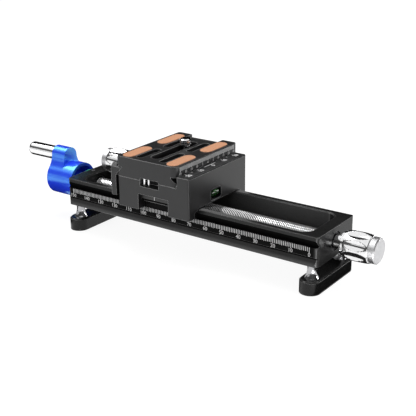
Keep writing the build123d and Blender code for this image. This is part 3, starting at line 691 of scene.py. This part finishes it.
railScale = {
    "zero": 74.75,          # where the numeral 0 stands
    "length": 150,
    "tickTop": 9.7,
    "tickFeet": {10: 7.05, 5: 7.3, 1: 7.5},     # lower end of each kind of mark
    "tickWidth": 0.34,
    "numeralStep": 10,
    "numeralHeight": 1.9,
    "numeralMiddle": 5.95,
    "depth": 0.03,
    "standBack": 0.5,       # of the strip, from the flange's foot
    "band": (-77.2, 77.2, 4.95, 9.75),      # matt black band that carries it: from, to, bottom, top
    "bandDepth": 0.02,
    "bandBury": 0.1,
}


def markFoot(value, feet):
    return next(feet[step] for step in sorted(feet, reverse=True) if value % step == 0)


def makeRailScale(settings):
    front = millimetres("rail_body")[0].y + settings["standBack"]
    build = bmesh.new()
    half, depth = settings["tickWidth"] / 2, settings["depth"]
    for value in range(settings["length"] + 1):
        x = settings["zero"] - value
        foot = markFoot(value, settings["tickFeet"])
        addBox(build, (x - half, front - depth, foot), (x + half, front + depth, settings["tickTop"]))
    for value in range(0, settings["length"] + 1, settings["numeralStep"]):
        centre = (settings["zero"] - value, front, settings["numeralMiddle"])
        addText(build, str(value), settings["numeralHeight"], centre, (1, 0, 0), (0, 0, 1), 2 * depth)
    piece = finishPiece("railScale", build, "markWhite", "base")
    band = bmesh.new()
    start, end, bottom, top = settings["band"]
    addBox(band, (start, front - settings["bandDepth"], bottom), (end, front + settings["bandBury"], top))
    piece = finishPiece("railScaleBand", band, "bandBlack", "base")


makeRailScale(railScale)


# painted shade: thin matt black skins laid in the gibs' V ways and the small grooves under the scale

ways = {
    "outline": 19.0,            # half the width of the rail's outline
    "cornerRadius": 2.6,
    "skin": 0.03,
    "least": 0.05,              # depth that a way keeps on the rounded corner
    "way": ((18.5, 9.75), (16.8, 10.25), (18.5, 13.3)),     # mouth, root and mouth, as (y, z)
    "groove": ((18.1, 3.9), (17.9, 4.35), (18.5, 4.8)),
    "sections": (0.0, 1.5, 1.9, 2.2, 2.4, 2.52),            # along the rounded corner
}


def mouthAt(mouth, root, limit, least):
    # where a way's flank ends, on the way's mouth or on the rail's rounded corner
    y = min(mouth[0], max(limit, root[0] + least))
    share = (mouth[0] - y) / (mouth[0] - root[0])
    return y, mouth[1] + (root[1] - mouth[1]) * share


def makeWaySkin(name, lips, settings):
    low, root, high = lips
    corner, skin = settings["cornerRadius"], settings["skin"]
    half = millimetres("rail_body")[1].x - corner
    places = [half + section for section in settings["sections"]]
    places = [-x for x in reversed(places)] + places
    build = bmesh.new()
    for side in (-1, 1):
        sections = []
        for x in places:
            over = max(0.0, abs(x) - half)
            limit = settings["outline"] - corner + math.sqrt(max(0.0, corner ** 2 - over ** 2))
            lowY, lowZ = mouthAt(low, root, limit, settings["least"])
            highY, highZ = mouthAt(high, root, limit, settings["least"])
            outline = ((lowY, lowZ), root, (highY, highZ), (highY, highZ - skin),
                       (root[0] + skin, root[1]), (lowY, lowZ + skin))
            sections.append([build.verts.new((x, side * y, z)) for y, z in outline])
        joinRings(build, sections)
        build.faces.new(sections[0])
        build.faces.new(sections[-1])
    piece = finishPiece(name, build, "wayBlack", "base")


makeWaySkin("wayPaintedShade", ways["way"], ways)
makeWaySkin("groovePaintedShade", ways["groove"], ways)
print("ways lined")


# the scales printed on the plate and the block, the mark of the index strip, and a shade painted along that
# strip's foot

plateScale = {
    "middle": 1.2,          # where its zero stands, across the rail
    "step": 4.77,           # from one numeral to the next
    "marks": 5,             # marks for each step
    "values": (25, 20, 15, 10, 5, 0, 5, 10, 15, 20, 25),
    "tickTop": 37.2,
    "tickFeet": {5: 34.9, 1: 35.2},
    "tickWidth": 0.42,
    "numeralHeight": 1.25,
    "numeralMiddle": 33.9,
    "depth": 0.03,
    "cornerRadius": 4.0,    # of the plate's outline
}


def makePlateScale(settings):
    low, high = millimetres("quick_release_plate")
    build = bmesh.new()
    half, depth = settings["tickWidth"] / 2, settings["depth"]
    count = len(settings["values"]) // 2
    gap = settings["step"] / settings["marks"]
    side = high.x
    for value in range(-count * settings["marks"], count * settings["marks"] + 1):
        y = settings["middle"] + value * gap
        foot = markFoot(value, settings["tickFeet"])
        addBox(build, (side - depth, y - half, foot), (side + depth, y + half, settings["tickTop"]))
    for index, value in enumerate(settings["values"]):
        centre = (side, settings["middle"] + (index - count) * settings["step"], settings["numeralMiddle"])
        addText(build, str(value), settings["numeralHeight"], centre, (0, 1, 0), (0, 0, 1), 2 * depth)
    # marks on the rounded corner follow it
    radius = settings["cornerRadius"]
    turn = low.y + radius
    for vert in build.verts:
        if vert.co.y < turn:
            vert.co.x += math.sqrt(max(0.0, radius ** 2 - (turn - vert.co.y) ** 2)) - radius
    piece = finishPiece("plateScale", build, "markWhite", "plate")


makePlateScale(plateScale)


jawScale = {
    "middle": 0.6,
    "step": 10.45,
    "values": (20, 10, 0, 10, 20),
    "numeralHeight": 2.5,
    "numeralX": 6.5,
    "bold": 0.015,
    "dash": (3.9, 5.0, 0.3),        # a short mark: from, to and width
    "line": (4.7, -4.7, 5.2, 0.35), # the long line beside the zero: place, from, to and width
    "depth": 0.03,
}


def makeJawScale(settings):
    top = millimetres("carriage_block")[1].z
    build = bmesh.new()
    values, depth = settings["values"], settings["depth"]
    count = len(values) // 2
    start, end, width = settings["dash"]
    for index, value in enumerate(values):
        y = settings["middle"] + (index - count) * settings["step"]
        addText(build, str(value), settings["numeralHeight"], (settings["numeralX"], y, top),
                (0, 1, 0), (-1, 0, 0), 2 * depth, bold=settings["bold"])
        dashes = [y] if value else []       # one at the numeral, none at the zero
        if value == values[0]:              # and one between the two outer numerals of each side
            dashes.append(y + math.copysign(settings["step"] / 2, count - index))
        for dash in dashes:
            addBox(build, (start, dash - width / 2, top - depth), (end, dash + width / 2, top + depth))
    x, start, end, width = settings["line"]
    addBox(build, (x - width / 2, start, top - depth), (x + width / 2, end, top + depth))
    piece = finishPiece("jawScale", build, "markWhite", "carriage")


makeJawScale(jawScale)


indexMark = {
    "x": -13.6,
    "width": 0.35,
    "height": 1.9,
    "depth": 0.03,
    "shade": 0.8,           # height of the black strip painted as shade along the strip's foot
    "shadeInset": 0.4,      # from the strip's ends
}


def makeIndexMark(settings):
    low, high = millimetres("index_plate")
    front, back = low.y - settings["depth"], low.y + settings["depth"]
    half, middle, rise = settings["width"] / 2, (low.z + high.z) / 2, settings["height"] / 2
    build = bmesh.new()
    addBox(build, (settings["x"] - half, front, middle - rise), (settings["x"] + half, back, middle + rise))
    piece = finishPiece("indexMark", build, "markWhite", "carriage")
    # painted shade: a black strip along the index strip's foot, where the window's shadow falls
    inset = settings["shadeInset"]
    shade = bmesh.new()
    addBox(shade, (low.x + inset, front, low.z), (high.x - inset, back, low.z + settings["shade"]))
    piece = finishPiece("indexPaintedShade", shade, "wayBlack", "carriage")


makeIndexMark(indexMark)
print("scales printed")


# the level: a green vial with a bubble between two rings

level = {
    "steps": 40,
    "endRound": 1.2,
    "bubbleSteps": 24,
    "bubbleLength": 2.6,
    "bubbleRadius": 0.75,
    "bubbleRound": 0.95,    # of its ends, as a share of its radius
    "bubbleOut": 0.74,      # its place from the vial's axis, in shares of the vial's radius and less a sink
    "bubbleRise": 0.81,
    "bubbleSink": (0.1, 0.55),
    "ringGap": 1.7,         # from the middle to each ring
    "ringWidth": 0.18,
    "ringStand": 0.02,
    "ringBury": 0.1,
}


def addCapsule(build, start, end, radius, centre, roundness, steps, arcSteps=6):
    # a rod along y with rounded ends, centred on (x, z)
    turns = [math.pi / 2 * i / arcSteps for i in range(arcSteps + 1)]
    arc = [(roundness * (1 - math.cos(turn)), radius - roundness * (1 - math.sin(turn))) for turn in turns]
    profile = [(start, 0.0)] + [(start + along, reach) for along, reach in arc]
    profile += [(end - along, reach) for along, reach in reversed(arc)] + [(end, 0.0)]
    joinRings(build, [[build.verts.new(aroundAxis("y", along, reach, 2 * math.pi * i / steps, centre))
                       for i in range(steps)] for along, reach in profile])


def makeLevel(settings):
    low, high = millimetres("level_vial")
    radius, steps = (high.z - low.z) / 2, settings["steps"]
    x, y, z = (low + high) / 2
    vial = bmesh.new()
    addCapsule(vial, low.y, high.y, radius, (x, z), settings["endRound"], steps)
    piece = finishPiece("levelVial", vial, "levelGreen", "carriage", smooth=60)
    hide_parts("level_vial")
    half, sink = settings["bubbleLength"] / 2, settings["bubbleSink"]
    spot = (x + radius * settings["bubbleOut"] - sink[0], z + radius * settings["bubbleRise"] - sink[1])
    bubble = bmesh.new()
    addCapsule(bubble, y - half, y + half, settings["bubbleRadius"], spot,
               settings["bubbleRadius"] * settings["bubbleRound"], settings["bubbleSteps"])
    piece = finishPiece("levelBubble", bubble, "levelBubble", "carriage", smooth=60)
    rings = bmesh.new()
    inner, outer = radius - settings["ringBury"], radius + settings["ringStand"]
    width = settings["ringWidth"] / 2
    for side in (-1, 1):
        middle = y + side * settings["ringGap"]
        sections = [[rings.verts.new(aroundAxis("y", middle + shift, reach, 2 * math.pi * i / steps, (x, z)))
                     for shift, reach in ((-width, inner), (-width, outer), (width, outer), (width, inner))]
                    for i in range(steps)]
        joinRings(rings, sections + sections[:1])
    piece = finishPiece("levelRings", rings, "indexBlack", "carriage", smooth=60)


makeLevel(level)


# the four rubber pads, with soft top edges

pads = {
    "round": 0.35,          # of the top edge
    "roundSteps": 5,
    "crown": 0.06,
    "crownRings": ((1.1, 0.25), (2.2, 0.0)),    # inset from the edge, and share of the crown left to rise
    "arcSteps": 20,         # round each end
    "fill": 0.9,
}


def makePad(node, settings):
    low, high = millimetres(node)
    radius = (high.x - low.x) / 2
    x, y = (low.x + high.x) / 2, (low.y + high.y) / 2
    reach = (high.y - low.y) / 2 - radius
    steps, edge, crown = settings["arcSteps"], settings["round"], settings["crown"]
    build = bmesh.new()

    def ring(shrink, z):
        points = []
        for side, turn in ((1, 0), (-1, math.pi)):
            for i in range(steps + 1):
                spot = aroundAxis("z", z, radius - shrink, math.pi * i / steps + turn, (x, y + side * reach))
                points.append(build.verts.new(spot))
        return points

    shoulder = high.z - crown
    rings = [ring(0.0, low.z), ring(0.0, shoulder - edge)]
    for i in range(1, settings["roundSteps"] + 1):
        angle = math.pi / 2 * i / settings["roundSteps"]
        rings.append(ring(edge * (1 - math.cos(angle)), shoulder - edge * (1 - math.sin(angle))))
    for inset, share in settings["crownRings"]:
        rings.append(ring(edge + inset, high.z - crown * share))
    joinRings(build, rings)
    build.faces.new(list(reversed(rings[0])))
    build.faces.new(rings[-1])
    words = node.split("_")
    name = words[0] + "".join(word.capitalize() for word in words[1:])
    piece = finishPiece(name, build, "padRubber", "plate", smooth=50)
    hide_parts(node)


for node in nodeFinish["padRubber"]:
    makePad(node, pads)
print("level and pads built")


# the camera stands where the photograph was taken from

photoCamera = {
    "place": (265.15, -367.75, 176.55),
    "azimuth": 35.43,
    "elevation": 20.38,
    "roll": -0.469,
    "lens": 79.12,
    "sensor": 36,
    "clip": (0.01, 20),     # in metres
}


def makeCamera(settings):
    data = bpy.data.cameras.new("photoCamera")
    data.sensor_width = settings["sensor"]
    data.lens = settings["lens"]
    data.clip_start, data.clip_end = settings["clip"]
    camera = bpy.data.objects.new("photoCamera", data)
    stand = Matrix.Translation(Vector(settings["place"]) * mm)
    turn = Matrix.Rotation(math.radians(settings["azimuth"]), 4, "Z")
    tilt = Matrix.Rotation(math.radians(90 - settings["elevation"]), 4, "X")
    roll = Matrix.Rotation(math.radians(settings["roll"]), 4, "Z")
    camera.matrix_world = stand @ turn @ tilt @ roll
    bpy.context.scene.collection.objects.link(camera)
    bpy.context.scene.camera = camera


makeCamera(photoCamera)
print("camera set")


# the studio, in metres: a white floor, soft lamps, and cards that only gloss sees, black or bright

studio = {
    "floorSize": 6.0,
    "floorGap": 0.0001,     # keeps the feet's undersides clear of it
    "floorWhite": 0.2,
    "floorRoughness": 0.9,
    "floorGlow": 0.9,
    "worldFill": 0.35,
    "cardSteps": 24,        # faces along a curved card
    "cardLift": 0.0005,     # of the cards that lie on the floor
}

# each card spans compass angles from the front towards the focus knob, and angles of height
wallCards = {
    "frontCard": {"turn": (-90, 90), "rise": (-1, 31), "radius": 1.5, "shade": 0.16, "glow": 0},
    "backCard": {"turn": (90, 270), "rise": (-1, 47), "radius": 1.5, "shade": 0.015, "glow": 0},
    "frontGlow": {"turn": (-60, -15), "rise": (3, 10), "radius": 1.2, "shade": 0, "glow": 1},
    "rightGlow": {"turn": (120, 165), "rise": (3, 10), "radius": 1.2, "shade": 0, "glow": 9},
    "skyGlow": {"turn": (-128, -50), "rise": (43, 60), "radius": 1.2, "shade": 0, "glow": 6},
}

# cards that lie on the floor: from and to along the rail, from and to across it
groundCards = {
    "groundCard": {"area": (-0.25, -0.105, -0.012, 0.30), "shade": 0.015, "glow": 0},
    "knobCard": {"area": (0.05, 0.105, -0.02, 0.035), "shade": 0.015, "glow": 0},
    "crankCard": {"area": (-0.140, -0.118, -0.085, -0.010), "shade": 0, "glow": 0},
    "hubCard": {"area": (-0.118, -0.085, -0.035, -0.010), "shade": 0, "glow": 0},
    "groundGlow": {"area": (0.10, 0.145, -0.072, -0.03), "shade": 0, "glow": 13},
}

# a one-sided bright card beside the carriage, in millimetres: the screw mirrors it, not the dark block
threadCard = {
    "gap": 0.5,             # from the block
    "across": (-20.0, 28.0),
    "heights": (15.6, 52.0),
    "shade": 0,
    "glow": 1,
}

softLamps = {
    "frontLamp": {"place": (-0.35, -1.3, 0.35), "size": (1.2, 0.7), "watts": 12},
    "rightLamp": {"place": (1.2, 0.25, 0.4), "size": (0.7, 0.7), "watts": 5},
    "topLamp": {"place": (-0.2, 0.3, 1.2), "size": (1.0, 0.8), "watts": 10},
}


def seenRays(owner):
    # 1 for the eye, for metal and for glass, and 0 for all other light
    path = addNode(owner, "ShaderNodeLightPath")
    seen, output = path, "Is Camera Ray"
    for kind in ("Is Glossy Ray", "Is Transmission Ray"):
        most = addNode(owner, "ShaderNodeMath", operation="MAXIMUM")
        link(owner, seen, output, most, 0)
        link(owner, path, kind, most, 1)
        seen, output = most, 0
    return seen


def makeFloor(settings):
    half = settings["floorSize"] / 2
    low = cadBox[0].z - settings["floorGap"]
    mesh = bpy.data.meshes.new("floor")
    mesh.from_pydata([(-half, -half, low), (half, -half, low), (half, half, low), (-half, half, low)],
                     [], [(0, 1, 2, 3)])
    floor = bpy.data.objects.new("floor", mesh)
    bpy.context.scene.collection.objects.link(floor)
    material, shader = newMaterial("floorWhite", grey(settings["floorWhite"]), settings["floorRoughness"])
    shader.inputs["Specular IOR Level"].default_value = 0.0
    shader.inputs["Emission Color"].default_value = (1, 1, 1, 1)
    glow = addNode(material, "ShaderNodeMath", operation="MULTIPLY")
    glow.inputs[1].default_value = settings["floorGlow"]
    link(material, seenRays(material), 0, glow, 0)
    link(material, glow, 0, shader, "Emission Strength")
    mesh.materials.append(material)


def makeWorld(settings):
    world = bpy.data.worlds.new("studio")
    bpy.context.scene.world = world
    world.use_nodes = True
    background = world.node_tree.nodes["Background"]
    background.inputs["Color"].default_value = (1, 1, 1, 1)
    strength = mapRange(world, seenRays(world), 0, (0.0, 1.0), (settings["worldFill"], 1.0))
    link(world, strength, "Result", background, "Strength")


def addCard(name, points, faces, settings):
    material, shader = newMaterial(name, grey(settings["shade"]), roughness=1.0)
    shader.inputs["Specular IOR Level"].default_value = 0.0
    shader.inputs["Emission Color"].default_value = (1, 1, 1, 1)
    shader.inputs["Emission Strength"].default_value = settings["glow"]
    mesh = bpy.data.meshes.new(name)
    mesh.from_pydata(points, [], faces)
    mesh.materials.append(material)
    card = bpy.data.objects.new(name, mesh)
    bpy.context.scene.collection.objects.link(card)
    card.visible_camera = False
    card.visible_diffuse = False
    card.visible_transmission = False
    card.visible_shadow = False
    return material, shader


def makeWallCard(name, settings, steps):
    first, last = settings["turn"]
    points = []
    for rise in settings["rise"]:
        height = settings["radius"] * math.tan(math.radians(rise))
        for i in range(steps + 1):
            turn = math.radians(first + (last - first) * i / steps)
            points.append((settings["radius"] * math.sin(turn), -settings["radius"] * math.cos(turn), height))
    addCard(name, points, [(i, i + 1, steps + 2 + i, steps + 1 + i) for i in range(steps)], settings)


def makeGroundCard(name, settings, z):
    x0, x1, y0, y1 = settings["area"]
    addCard(name, [(x0, y0, z), (x1, y0, z), (x1, y1, z), (x0, y1, z)], [(0, 1, 2, 3)], settings)


def makeThreadCard(settings):
    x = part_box("carriage_block")[1].x + settings["gap"] * mm
    (y0, y1), (z0, z1) = ([value * mm for value in settings[key]] for key in ("across", "heights"))
    material, shader = addCard("threadCard", [(x, y0, z0), (x, y1, z0), (x, y1, z1), (x, y0, z1)],
                               [(0, 1, 2, 3)], settings)
    side = addNode(material, "ShaderNodeNewGeometry")
    front = addNode(material, "ShaderNodeMath", operation="SUBTRACT")
    front.inputs[0].default_value = 1.0
    link(material, side, "Backfacing", front, 1)
    link(material, front, "Value", shader, "Alpha")


def makeLamp(name, settings):
    data = bpy.data.lights.new(name, "AREA")
    data.shape = "RECTANGLE"
    data.size, data.size_y = settings["size"]
    data.energy = settings["watts"]
    lamp = bpy.data.objects.new(name, data)
    stand = Vector(settings["place"])
    aim = (cadBox[0] + cadBox[1]) / 2 - stand
    lamp.matrix_world = Matrix.Translation(stand) @ aim.to_track_quat("-Z", "Y").to_matrix().to_4x4()
    lamp.visible_glossy = False
    bpy.context.scene.collection.objects.link(lamp)


makeFloor(studio)
makeWorld(studio)
for name, settings in wallCards.items():
    makeWallCard(name, settings, studio["cardSteps"])
for name, settings in groundCards.items():
    makeGroundCard(name, settings, cadBox[0].z + studio["cardLift"])
makeThreadCard(threadCard)
for name, settings in softLamps.items():
    makeLamp(name, settings)
bpy.context.scene.view_settings.view_transform = "Standard"
print("studio lit")
